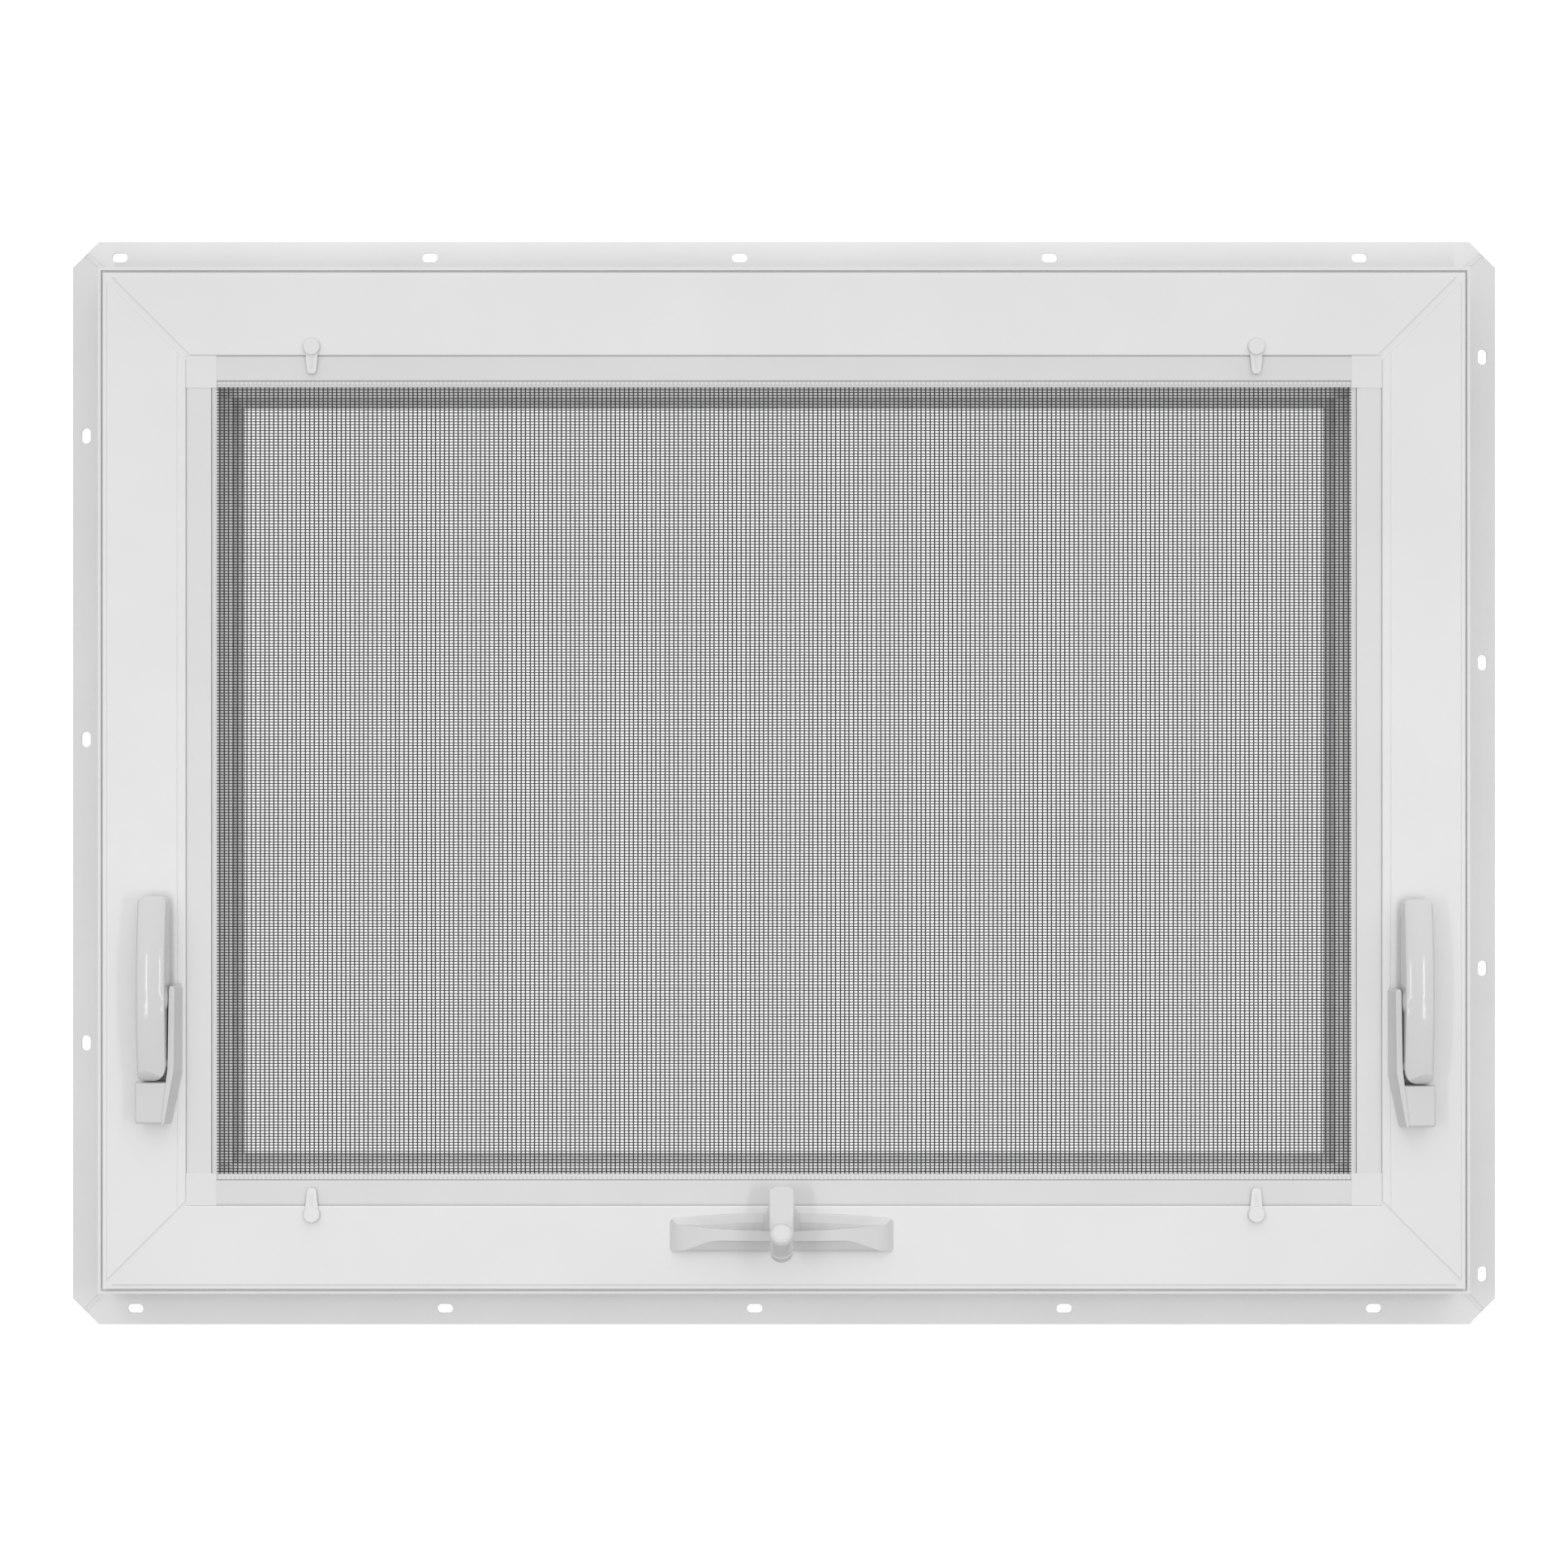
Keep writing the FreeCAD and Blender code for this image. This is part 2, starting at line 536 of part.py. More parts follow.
def clip(name, x, z, rx):
    b = body(name)
    g = D("ClipGap")
    sk = sketch(b, "XY_Plane", "tongue", offset=g)
    polygon(sk, [(-D("TongueRoot"), 0), (D("TongueRoot"), 0), (D("TongueTip"), D("TongueL") - 1.6),
                 (D("TongueTip") - 1.2, D("TongueL")), (-D("TongueTip") + 1.2, D("TongueL")),
                 (-D("TongueTip"), D("TongueL") - 1.6)])
    pad(b, sk, D("TongueT"))
    sk = sketch(b, "XY_Plane", "rib", offset=g)
    polygon(sk, [(-D("RibW"), 1), (D("RibW"), 1), (D("RibW"), D("TongueL") - 3.2), (-D("RibW"), D("TongueL") - 3.2)])
    pad(b, sk, D("TongueT") + D("RibH"))
    sk = sketch(b, "XY_Plane", "head", offset=g)
    circle(sk, 0, 0, D("ClipR"))
    f = pad(b, sk, D("ClipH"))
    top = g.v + D("ClipH").v
    names = edges(f, lambda e, p: all(abs(v.z - top) < 1e-3 for v in p) and abs(e.Length - 2 * math.pi * VAL["ClipR"]) < 1)
    fillet(b, f, names, 0.7)
    sk = sketch(b, "XY_Plane", "pin", offset=g)
    circle(sk, 0, 0, D("PinR"))
    pad(b, sk, D("PinL") + g, reverse=True)
    place(b, x, F, z, rx=rx)
    return keep(b)


cx, cz = D("ClipX"), D("ClipZ")
for name, x, up in (("screen_clip_top_left", -cx, True), ("screen_clip_top_right", cx, True),
                    ("screen_clip_bottom_left", -cx, False), ("screen_clip_bottom_right", cx, False)):
    b = clip(name, x, ZC + cz if up else ZC - cz, 90)
    if up:
        # the same clip turned half round, its tongue hanging down
        b.Placement = FreeCAD.Placement(b.Placement.Base, FreeCAD.Rotation(FreeCAD.Vector(0, 1, 0), 180).multiply(
            FreeCAD.Rotation(FreeCAD.Vector(1, 0, 0), 90)))

# ---------------------------------------------------------------- sash locks
# Base: thin plate, block below the lever's heel and a slanting side rib that
# carries the pivot pin.  The left one is drawn; the right one is its mirror
# image, a little further out and lower.  Local origin: the pivot's foot on the
# frame face; s = 1 for left and -1 for right.


def lock(side, s):
    lx = -D("LockX") if s > 0 else D("LockX") + D("LockOff")
    lz = ZC + D("LockZ") if s > 0 else ZC + D("LockZ") - D("LockDrop")
    P = D("PivotOut")

    def m(pts):
        return [(q(a) * s, c) for a, c in pts]

    b = body("lock_%s_base" % side)
    sk = sketch(b, "XZ_Plane", "plate")
    polygon(sk, m([(-9.2, -34.0), (6.0, -34.0), (10.5, -6), (10.5, 40), (3.0, 40), (-4.0, 12), (-9.2, 4)]))
    pad(b, sk, D("PlateT"))
    sk = sketch(b, "XZ_Plane", "block")
    polygon(sk, m([(-10.3, -34.8), (5.5, -34.8), (8.2, -10.5), (-10.3, -10.5)]))
    f = pad(b, sk, D("BlockP"))
    bp = -VAL["BlockP"]
    names = edges(f, lambda e, p: (all(abs(v.y - bp) < 1e-3 for v in p) and not all(abs(v.z + 10.5) < 1e-3 for v in p)) or
                  (len(p) == 2 and abs(p[0].x - p[1].x) < 1e-3 and abs(p[0].z - p[1].z) < 1e-3 and
                   abs(p[0].z + 34.8) < 1e-3 and min(v.y for v in p) < bp + 1))
    fillet(b, f, names, 1.6)
    # the block's top falls towards the room, clear of the lever's front when it
    # is swung down
    sk = sketch(b, "YZ_Plane", "fall")
    polygon(sk, [(-13.0, -10.0), (-13.0, -10.5), (-19.0, -11.2), (-19.0, -10.0)])
    pocket(b, sk, symmetric=True)
    # side rib: upright beside the lever, then slanting in below the block, its
    # room side flank sloping out to the frame face
    foot = m([(9.6, 43.5), (10.3, 45.6), (13.9, 45.6), (14.8, 43.5), (14.6, -6.0), (8.3, -36.0), (5.2, -36.0), (8.9, -1.5)])
    crest = m([(9.6, 43.5), (10.3, 45.3), (12.2, 45.3), (12.9, 43.5), (12.3, -3.5), (6.7, -34.8), (5.2, -34.8), (8.9, -1.5)])
    s1 = sketch(b, "XZ_Plane", "rib_foot")
    polygon(s1, foot)
    s2 = sketch(b, "XZ_Plane", "rib_crest", offset=D("RibP"))
    polygon(s2, crest)
    loft = b.newObject("PartDesign::AdditiveLoft", b.Name + "_rib")
    loft.Profile = s1
    loft.Sections = [s2]
    loft.Ruled = True
    b.Tip = loft
    doc.recompute()
    # pivot pin, from the rib into the lever's heel
    sk = sketch(b, "YZ_Plane", "pin", offset=-6.0 * s if s > 0 else 6.0)
    circle(sk, -P, 0, D("LockPinR"))
    pad(b, sk, 16.5, reverse=(s < 0))
    place(b, lx, F, lz)
    keep(b)

    b = body("lock_%s_lever" % side)
    w = D("LeverW") / 2
    R = D("HeelR")
    U = D("LeverUp")
    sk = sketch(b, "YZ_Plane", "profile")
    V = FreeCAD.Vector
    # side profile: a bowed front, an almost straight back and a round heel; the
    # front stands 0.6 mm further out here and is crowned by the groove below
    front = [(-P.v - R.v, 0), (-26.4 - 0.6, 44), (-20.2 - 0.6, U.v)]
    c = Part.Circle(V(front[0][0], front[0][1], 0), V(front[1][0], front[1][1], 0), V(front[2][0], front[2][1], 0))
    back = [(-5.0, U.v), (-4.8, 42)]
    heel = Part.ArcOfCircle(Part.Circle(V(-P.v, 0, 0), V(0, 0, 1), R.v), math.pi, 2 * math.pi + math.radians(10))
    a, d = heel.StartPoint, heel.EndPoint
    g0 = sk.addGeometry(Part.ArcOfCircle(Part.Circle(c.Center, V(0, 0, 1), c.Radius),
                                         *arc_angles(c.Center, front[2], front[0])), False)
    g1 = sk.addGeometry(heel, False)
    g2 = sk.addGeometry(Part.LineSegment(d, V(back[1][0], back[1][1], 0)), False)
    g3 = sk.addGeometry(Part.LineSegment(V(back[1][0], back[1][1], 0), V(back[0][0], back[0][1], 0)), False)
    g4 = sk.addGeometry(Part.LineSegment(V(back[0][0], back[0][1], 0), V(front[2][0], front[2][1], 0)), False)
    ends = sk.Geometry[g0]
    flip = (ends.StartPoint - V(front[2][0], front[2][1], 0)).Length < 1e-6
    top_pt, heel_pt = (1, 2) if flip else (2, 1)
    sk.addConstraint(Sketcher.Constraint("Coincident", g0, heel_pt, g1, 1))
    sk.addConstraint(Sketcher.Constraint("Coincident", g1, 2, g2, 1))
    sk.addConstraint(Sketcher.Constraint("Coincident", g2, 2, g3, 1))
    sk.addConstraint(Sketcher.Constraint("Coincident", g3, 2, g4, 1))
    sk.addConstraint(Sketcher.Constraint("Coincident", g4, 2, g0, top_pt))
    k = sk.addConstraint(Sketcher.Constraint("DistanceX", -1, 1, g1, 3, -P.v))
    sk.setExpression("Constraints[%d]" % k, (-P).e)
    sk.addConstraint(Sketcher.Constraint("DistanceY", -1, 1, g1, 3, 0.0))
    k = sk.addConstraint(Sketcher.Constraint("Radius", g1, R.v))
    sk.setExpression("Constraints[%d]" % k, R.e)
    k = sk.addConstraint(Sketcher.Constraint("DistanceY", -1, 1, g4, 1, U.v))
    sk.setExpression("Constraints[%d]" % k, U.e)
    f = pad(b, sk, w * 2, symmetric=True)
    # crowned front: a groove turned about an axis far behind the lever leaves a
    # front that bows both along the lever and across it
    f1 = [(-P.v - R.v, 0), (-26.4, 44), (-20.2, U.v)]
    bow = Part.Circle(V(f1[0][0], f1[0][1], 0), V(f1[1][0], f1[1][1], 0), V(f1[2][0], f1[2][1], 0))
    sk = sketch(b, "XY_Plane", "crown", offset=bow.Center.y)
    top = bow.Center.x - bow.Radius
    cr = VAL["CrownR"]
    off = -VAL["CrownOff"] * s
    half = w.v + 1
    # the crown's crest lies nearer the frame's outer edge, so the front leans
    # towards the middle of the window
    arc = Part.ArcOfCircle(Part.Circle(V(off, top + cr, 0), V(0, 0, 1), cr),
                           -math.pi / 2 + math.asin((-half - off) / cr), -math.pi / 2 + math.asin((half - off) / cr))
    g = sk.addGeometry(arc, False)
    l1 = sk.addGeometry(Part.LineSegment(arc.EndPoint, V(half, top - 8, 0)), False)
    l2 = sk.addGeometry(Part.LineSegment(V(half, top - 8, 0), V(-half, top - 8, 0)), False)
    l3 = sk.addGeometry(Part.LineSegment(V(-half, top - 8, 0), arc.StartPoint), False)
    ax = sk.addGeometry(Part.LineSegment(V(-20, bow.Center.x, 0), V(20, bow.Center.x, 0)), True)
    sk.addConstraint(Sketcher.Constraint("Coincident", g, 2, l1, 1))
    sk.addConstraint(Sketcher.Constraint("Coincident", l1, 2, l2, 1))
    sk.addConstraint(Sketcher.Constraint("Coincident", l2, 2, l3, 1))
    sk.addConstraint(Sketcher.Constraint("Coincident", l3, 2, g, 1))
    k = sk.addConstraint(Sketcher.Constraint("Radius", g, cr))
    sk.setExpression("Constraints[%d]" % k, "Dim.CrownR")
    gr = b.newObject("PartDesign::Groove", b.Name + "_crown")
    gr.Profile = sk
    gr.ReferenceAxis = (sk, ["Axis0"])
    gr.Angle = 360.0
    before = b.Shape.Volume
    b.Tip = gr
    doc.recompute()
    if not gr.Shape.Volume < before - 100:
        raise RuntimeError("crown groove cut nothing")
    f = gr
    # soft long edges, rounder on the frame's side
    for side_x, size in ((-s * w.v, 2.0), (s * w.v, 1.2)):
        names = edges(f, lambda e, p: len(p) == 2 and e.Length > 35 and all(v.y < -15 for v in p) and
                      abs(p[0].x - side_x) < 0.01 and abs(p[0].x - p[1].x) < 0.01)
        if not names:
            raise RuntimeError("the lever's long edges are missing")
        f = fillet(b, f, names, size)
    # front view: round top corners and a rounded heel, fuller on the frame's side
    sk = sketch(b, "XZ_Plane", "trim")
    h = [(w + 1, 1.5), (w, 1.5), (w - 0.12, -1.2), (w - 0.5, -3.6), (w - 1.2, -5.6), (w - 2.2, -7.2), (w - 3.6, -8.5),
         (w - 5.4, -9.4), (w - 7.4, -10.0), (w - 7.4, -R - 1), (w + 1, -R - 1)]
    polygon(sk, m(h))
    h = [(-w - 1, -7.2), (-w, -7.2), (-w + 0.5, -8.2), (-w + 1.4, -9.1), (-w + 2.8, -9.8), (-w + 4.6, -10.15),
         (-w + 4.6, -R - 1), (-w - 1, -R - 1)]
    polygon(sk, m(h))
    for g in (1, -1):
        polygon(sk, [(g * (w + 1), U + 1), (g * (w - 4.4), U + 1), (g * (w - 4.4), U), (g * (w - 3.2), U - 0.17),
                     (g * (w - 2.1), U - 0.65), (g * (w - 1.2), U - 1.3), (g * (w - 0.6), U - 2.1),
                     (g * (w - 0.15), U - 3.2), (g * w, U - 4.4), (g * (w + 1), U - 4.4)])
    f = pocket(b, sk, symmetric=True)
    # the back corner beside the rib is eased, so that it swings clear of it
    sk = sketch(b, "XY_Plane", "ease")
    polygon(sk, m([(w + 1, -6.4), (w, -6.4), (w - 1.0, -1.0), (w + 1, -1.0)]))
    f = pocket(b, sk, symmetric=True)
    # shallow lens shaped boss on the side that faces the rib
    sk = sketch(b, "XY_Plane", "boss", offset=38.4)
    pts = m([(w - 1, -6.85), (w - 0.02, -6.85), (w + 0.3, -5.6), (w + 0.62, -3.9), (w + 0.85, -2.0), (w + 0.9, 0),
             (w - 1, 0)])
    polygon(sk, [(a_, c_ - 16.0) for a_, c_ in pts])
    sk.addGeometry(Part.LineSegment(V(-20, -16.0, 0), V(20, -16.0, 0)), True)
    rv = b.newObject("PartDesign::Revolution", b.Name + "_boss")
    rv.Profile = sk
    rv.ReferenceAxis = (sk, ["Axis0"])
    rv.Angle = 360.0
    b.Tip = rv
    doc.recompute()
    # blind bore for the pivot pin, open on the rib's side
    sk = sketch(b, "YZ_Plane", "bore", offset=-6.5 if s > 0 else 6.5)
    circle(sk, -P, 0, D("LockPinR") + D("PinFit"))
    pocket(b, sk, 20.0, reverse=(s > 0))
    place(b, lx, F, lz)
    keep(b)


def arc_angles(centre, start, end):
    a = math.atan2(start[1] - centre.y, start[0] - centre.x)
    c = math.atan2(end[1] - centre.y, end[0] - centre.x)
    if c < a:
        c += 2 * math.pi
    return a, c


lock("left", 1)
lock("right", -1)

# ---------------------------------------------------------------- operator cover
# Low moulded cover on the sill face: a bevel on top, a slanting recess under it,
# a ribbon that stands proud and a scoop below.  The recess is deepest at mid
# width and runs out towards both ends.
b = body("cover_shell")
cp = D("CoverP")
V = FreeCAD.Vector
r, h = VAL["BowR"], VAL["OpHalf"]


def arc3(sk, a, m_, c):
    """Arc through three points; gives the geometry index and whether it runs from c to a."""
    ci = Part.Circle(V(a[0], a[1], 0), V(m_[0], m_[1], 0), V(c[0], c[1], 0))
    ang = [math.atan2(p_[1] - ci.Center.y, p_[0] - ci.Center.x) for p_ in (a, m_, c)]
    start, mid, end = ang
    while mid < start:
        mid += 2 * math.pi
    while end < start:
        end += 2 * math.pi
    if mid < end:
        g_ = sk.addGeometry(Part.ArcOfCircle(Part.Circle(ci.Center, V(0, 0, 1), ci.Radius), start, end), False)
        return g_, False
    start, end = ang[2], ang[0]
    while end < start:
        end += 2 * math.pi
    g_ = sk.addGeometry(Part.ArcOfCircle(Part.Circle(ci.Center, V(0, 0, 1), ci.Radius), start, end), False)
    return g_, True


def chain(sk, pieces):
    """Closed outline of lines and three point arcs, end to end."""
    ids = []
    for pc in pieces:
        if len(pc) == 2:
            ids.append((sk.addGeometry(Part.LineSegment(V(pc[0][0], pc[0][1], 0), V(pc[1][0], pc[1][1], 0)), False), False))
        else:
            ids.append(arc3(sk, *pc))
    for i_, (g_, back_) in enumerate(ids):
        g2_, back2_ = ids[(i_ + 1) % len(ids)]
        sk.addConstraint(Sketcher.Constraint("Coincident", g_, 1 if back_ else 2, g2_, 2 if back2_ else 1))
    return [i_ for i_, _ in ids]


def bow_y(x):
    return -cp.v + r - math.sqrt(r * r - x * x)


# half width, crest (out, z) and foot (out, z) of the recess, top edge z
ribs = [(0.0, 10.2, -257.5, 8.4, -262.6, -253.4), (14.0, 10.1, -257.8, 8.4, -262.45, -253.5),
        (27.6, 9.8, -258.6, 8.5, -262.1, -253.8), (36.0, 9.2, -259.2, 8.3, -261.7, -254.2),
        (44.0, 8.3, -259.7, 7.7, -261.3, -254.7), (50.0, 7.2, -259.9, 6.9, -260.7, -255.1),
        (56.0, 5.9, -260.0, 5.8, -260.3, -255.6), (h, 2.9, -260.0, 2.85, -260.25, -256.4)]
profiles = []
for x_, pc_, zc_, pl_, zl_, zt_ in [(-t_[0],) + t_[1:] for t_ in reversed(ribs[1:])] + ribs:
    front_ = -(cp - r + math.sqrt(r * r - x_ * x_)) - 1.0
    sk = sketch(b, "YZ_Plane", "rib_%d" % len(profiles), offset=x_)
    polygon(sk, [(0, zt_), (-1.4, zt_), (-pc_, zc_), (-pl_, zl_), (front_, zl_ - 0.1), (front_, -268.3), (-10.9, -268.5),
                 (-9.62, -269.8), (-8.42, -271.7), (-6.85, -274.1), (-5.7, -275.2), (-3.4, -275.2), (-3.4, -276.0), (0, -276.0)])
    profiles.append(sk)
loft = b.newObject("PartDesign::AdditiveLoft", "cover_loft")
loft.Profile = profiles[0]
loft.Sections = profiles[1:]
loft.Ruled = True
b.Tip = loft
doc.recompute()
# seen from above: a bow across the front that turns in more tightly at both ends
sk = sketch(b, "XY_Plane", "bow")
xe, ye = h - 9.5, bow_y(h - 9.5)
xo = h + 1.0
gs = chain(sk, [((-xe, ye), (0, -cp.v), (xe, ye)), ((xe, ye), (h - 3.2, -2.9), (h - 0.2, 0.4)), ((h - 0.2, 0.4), (xo, 0.4)),
                ((xo, 0.4), (xo, -40)), ((xo, -40), (-xo, -40)), ((-xo, -40), (-xo, 0.4)), ((-xo, 0.4), (-h + 0.2, 0.4)),
                ((-h + 0.2, 0.4), (-h + 3.2, -2.9), (-xe, ye))])
k = sk.addConstraint(Sketcher.Constraint("Radius", gs[0], r))
sk.setExpression("Constraints[%d]" % k, "Dim.BowR")
f = pocket(b, sk, symmetric=True)
# seen from the front: the top edge rises a little to the middle and all four
# corners are round
sk = sketch(b, "XZ_Plane", "outline")
t0, t1, zb_ = -253.6, -256.4, -276.0
chain(sk, [((-h - 2, t1 + 6), (-h - 2, zb_ - 2)), ((-h - 2, zb_ - 2), (-h + 3.2, zb_ - 2)), ((-h + 3.2, zb_ - 2), (-h + 3.2, zb_)),
           ((-h + 3.2, zb_), (-h + 0.94, zb_ + 0.94), (-h, zb_ + 3.2)), ((-h, zb_ + 3.2), (-h, t1 - 4.4)),
           ((-h, t1 - 4.4), (-h + 1.35, t1 - 1.2), (-h + 4.8, t1)), ((-h + 4.8, t1), (0, t0), (h - 4.8, t1)),
           ((h - 4.8, t1), (h - 1.35, t1 - 1.2), (h, t1 - 4.4)), ((h, t1 - 4.4), (h, zb_ + 3.2)),
           ((h, zb_ + 3.2), (h - 0.94, zb_ + 0.94), (h - 3.2, zb_)), ((h - 3.2, zb_), (h - 3.2, zb_ - 2)),
           ((h - 3.2, zb_ - 2), (h + 2, zb_ - 2)), ((h + 2, zb_ - 2), (h + 2, t1 + 6)), ((h + 2, t1 + 6), (-h - 2, t1 + 6))])
f = pocket(b, sk, symmetric=True)
place(b, D("OpX"), F, ZC)
shell = b
# tilted boss round the crank's shaft, cut off at the frame face
tilt = D("Tilt")
boss = doc.addObject("Part::Cone", "cover_boss")
boss.Label = "cover_boss"
boss.Radius1, boss.Radius2, boss.Height = VAL["BossBase"], VAL["BossR"], VAL["BossL"]
bind(boss, "Radius1", D("BossBase"))
bind(boss, "Radius2", D("BossR"))
bind(boss, "Height", D("BossL"))
ct, st = math.cos(math.radians(VAL["Tilt"])), math.sin(math.radians(VAL["Tilt"]))


def on_axis(along):
    """A point on the crank's axis, `along` outwards from the arm's front face."""
    along = q(along)
    return (D("OpX"),
            Q(VAL["FrontY"] - VAL["HubOut"] - along.v * st, "(Dim.FrontY - Dim.HubOut - %s * sin(Dim.Tilt * 1deg))" % along.e),
            Q(VAL["CentreZ"] + VAL["HubZ"] + along.v * ct, "(Dim.CentreZ + Dim.HubZ + %s * cos(Dim.Tilt * 1deg))" % along.e))


place(boss, *on_axis(-D("BossTop") - D("BossL")), rx=tilt)
bore = doc.addObject("Part::Cylinder", "cover_bore")
bore.Radius, bore.Height = VAL["ShaftR"] + VAL["ShaftFit"], VAL["ShaftL"] + 4
bind(bore, "Radius", D("ShaftR") + D("ShaftFit"))
bind(bore, "Height", D("ShaftL") + 4)
place(bore, *on_axis(-D("HubDeep") - D("ShaftL") - 0.5), rx=tilt)
trim = box("cover_trim", D("OpX") - 40, D("OpX") + 40, F, F + 40, ZC - 300, ZC - 200)
fuse = doc.addObject("Part::MultiFuse", "cover_fused")
fuse.Shapes = [shell, boss]
cutter = doc.addObject("Part::MultiFuse", "cover_cutters")
cutter.Shapes = [bore, trim]
cover = doc.addObject("Part::Cut", "operator_cover")
cover.Label = "operator_cover"
cover.Base = fuse
cover.Tool = cutter
doc.recompute()
keep(cover)

# ---------------------------------------------------------------- crank
# Arm with a deep hub and a shaft into the boss; local Z is the crank's axis,
# out of the front face of the arm, and the arm hangs along -Y.
b = body("crank_arm")
sk = sketch(b, "XY_Plane", "web")
HR, AL = D("HubR"), D("ArmL")
hr, al = VAL["HubR"], VAL["ArmL"]
gs = chain(sk, [((-7.6, 3.4), (-7.25, 4.3), (-6.5, 4.9)), ((-6.5, 4.9), (0, 7.1), (6.5, 4.9)), ((6.5, 4.9), (7.25, 4.3), (7.6, 3.4)),
                ((7.6, 3.4), (6.6, -al)), ((6.6, -al), (0, -al - 6.6), (-6.6, -al)), ((-6.6, -al), (-7.6, 3.4))])
k = sk.addConstraint(Sketcher.Constraint("DistanceY", -1, 1, gs[4], 3, -al))
sk.setExpression("Constraints[%d]" % k, "0 - Dim.ArmL")
f = pad(b, sk, D("ArmT"), reverse=True)
names = edges(f, lambda e, p: all(abs(v.z) < 1e-3 for v in p))
f = fillet(b, f, names, 1.2)
sk = sketch(b, "XY_Plane", "hub", offset=-D("ArmT") + 1)
circle(sk, 0, 0, HR)
pad(b, sk, D("HubDeep") - D("ArmT") + 1, reverse=True)
sk = sketch(b, "XY_Plane", "shaft", offset=-D("HubDeep") + 1)
circle(sk, 0, 0, D("ShaftR"))
pad(b, sk, D("ShaftL") + 1, reverse=True)
sk = sketch(b, "XY_Plane", "knob_pin", offset=-1)
circle(sk, 0, -AL, D("KnobPin"))
pad(b, sk, D("KnobL") * 0.7 + 1)
place(b, *on_axis(0), rx=tilt)
keep(b)

b = body("crank_knob")
sk = sketch(b, "YZ_Plane", "half")
# half section turned about the pin's axis: slim foot, fuller domed end
k0, kl, kr, kf2 = D("KnobGap"), D("KnobL"), D("KnobR"), D("KnobFoot")
bore_r, bore_l = D("KnobPin") + D("PinFit"), D("KnobL") * 0.7 + 0.5
pts = [(bore_r, k0), (kf2, k0), (kf2 + 0.2, k0 + 5), (kr, kl - 5), (kr - 0.15, kl - 3), (kr - 0.9, kl - 1.5),
       (kr - 2.3, kl - 0.5), (kr - 4.5, kl - 0.1), (0, kl), (0, bore_l), (bore_r, bore_l)]
polygon(sk, pts)
rev = b.newObject("PartDesign::Revolution", "crank_knob_turned")
rev.Profile = sk
axis = [o for o in b.Origin.OriginFeatures if o.Role == "Z_Axis"][0]
rev.ReferenceAxis = (axis, [""])
rev.Angle = 360.0
b.Tip = rev
doc.recompute()
place(b, D("OpX"),
      Q(VAL["FrontY"] - VAL["HubOut"] - al * ct, "(Dim.FrontY - Dim.HubOut - Dim.ArmL * cos(Dim.Tilt * 1deg))"),
      Q(VAL["CentreZ"] + VAL["HubZ"] - al * st, "(Dim.CentreZ + Dim.HubZ - Dim.ArmL * sin(Dim.Tilt * 1deg))"), rx=tilt)
keep(b)

# ---------------------------------------------------------------- check and write
doc.recompute()
for o in doc.Objects:
    for bad in ("Invalid", "Error"):
        if bad in o.State:
            raise RuntimeError("%s is %s" % (o.Label, o.State))
total = 0.0
for o in PARTS:
    s = o.Shape
    if s.isNull() or not s.isValid() or not s.Solids:
        raise RuntimeError("bad shape: " + o.Label)
    total += s.Volume
    bb = s.BoundBox
    print("%-26s solids %d vol %10.1f  x %7.1f %7.1f  y %6.1f %6.1f  z %6.1f %6.1f" % (
        o.Label, len(s.Solids), s.Volume, bb.XMin, bb.XMax, bb.YMin, bb.YMax, bb.ZMin, bb.ZMax))
print("nodes", len(PARTS), "volume", total)
for o in PARTS:
    o.Shape.exportStep("parts/%s.step" % o.Label)
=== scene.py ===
import bpy
import bmesh
import math
import random
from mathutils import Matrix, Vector


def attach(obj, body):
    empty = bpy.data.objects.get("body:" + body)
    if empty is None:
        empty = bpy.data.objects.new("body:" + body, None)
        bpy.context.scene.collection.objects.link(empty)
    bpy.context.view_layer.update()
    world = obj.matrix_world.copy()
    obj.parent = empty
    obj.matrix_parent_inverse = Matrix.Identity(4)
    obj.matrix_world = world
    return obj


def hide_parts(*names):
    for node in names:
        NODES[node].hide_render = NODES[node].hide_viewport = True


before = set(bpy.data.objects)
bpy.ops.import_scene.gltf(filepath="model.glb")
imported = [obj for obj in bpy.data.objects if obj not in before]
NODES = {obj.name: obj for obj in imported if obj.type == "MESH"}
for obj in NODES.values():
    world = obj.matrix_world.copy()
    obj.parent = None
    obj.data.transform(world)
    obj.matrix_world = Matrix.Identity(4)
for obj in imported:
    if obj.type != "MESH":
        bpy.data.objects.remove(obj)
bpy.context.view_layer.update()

# ------------------------------------------------------------------ sizes (metres)
MM = 0.001
CENTRE_Z = 0.314125
FRAME_W, FRAME_H = 0.80645, 0.60325
FRONT_Y = -0.0475


# ------------------------------------------------------------------ materials
def new_material(name):
    m = bpy.data.materials.new(name)
    m.use_nodes = True
    nt = m.node_tree
    return m, nt, nt.nodes["Principled BSDF"]


def node(nt, kind, **inputs):
    n = nt.nodes.new(kind)
    for k, v in inputs.items():
        if k in n.inputs:
            n.inputs[k].default_value = v
    return n


def coords(nt, scale=(1, 1, 1)):
    tc = nt.nodes.new("ShaderNodeTexCoord")
    mp = nt.nodes.new("ShaderNodeMapping")
    mp.inputs["Scale"].default_value = scale
    nt.links.new(tc.outputs["Object"], mp.inputs["Vector"])
    return mp.outputs["Vector"]


def noise(nt, vec, scale, detail=3.0, rough=0.5):
    n = nt.nodes.new("ShaderNodeTexNoise")
    n.inputs["Scale"].default_value = scale
    n.inputs["Detail"].default_value = detail
    n.inputs["Roughness"].default_value = rough
    nt.links.new(vec, n.inputs["Vector"])
    return n.outputs["Fac"]


